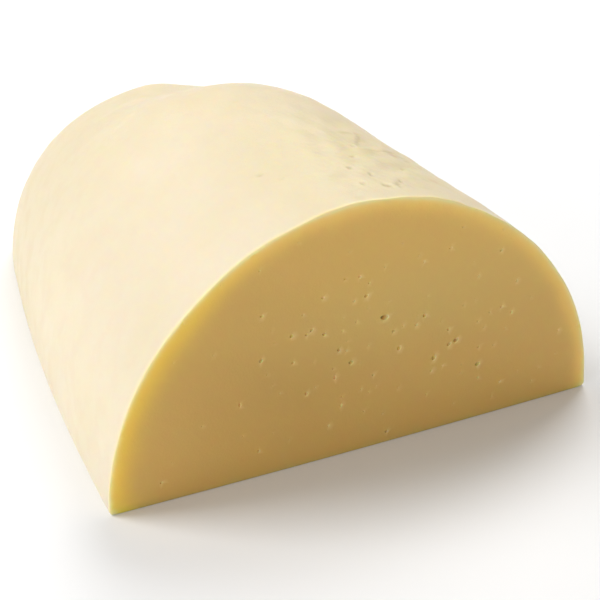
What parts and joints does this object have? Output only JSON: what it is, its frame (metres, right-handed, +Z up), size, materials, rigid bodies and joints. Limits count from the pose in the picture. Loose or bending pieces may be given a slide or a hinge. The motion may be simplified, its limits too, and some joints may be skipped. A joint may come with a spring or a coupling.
{
  "type": "provolone cheese",
  "caption": "Half log of provolone lying on its lengthwise cut, with a smooth waxy rind, a blunt tapered nose and a D-shaped crosswise cut face.",
  "frame": {"origin": "centre of the base's box, on the surface that the cheese rests on", "axes": "+Z up; -Y is the outward normal of the crosswise cut face, and +Y points to the rounded nose; +X to the right when the cut face is seen from the front"},
  "size_m": [0.1998, 0.24, 0.1031],
  "materials": {
    "cheese": "waxy satin: pale cream rind, amber-yellow cut faces with small eyes"
  },
  "bodies": {
    "root": {"provolone_half_log": "cheese"}
  },
  "joints": []
}
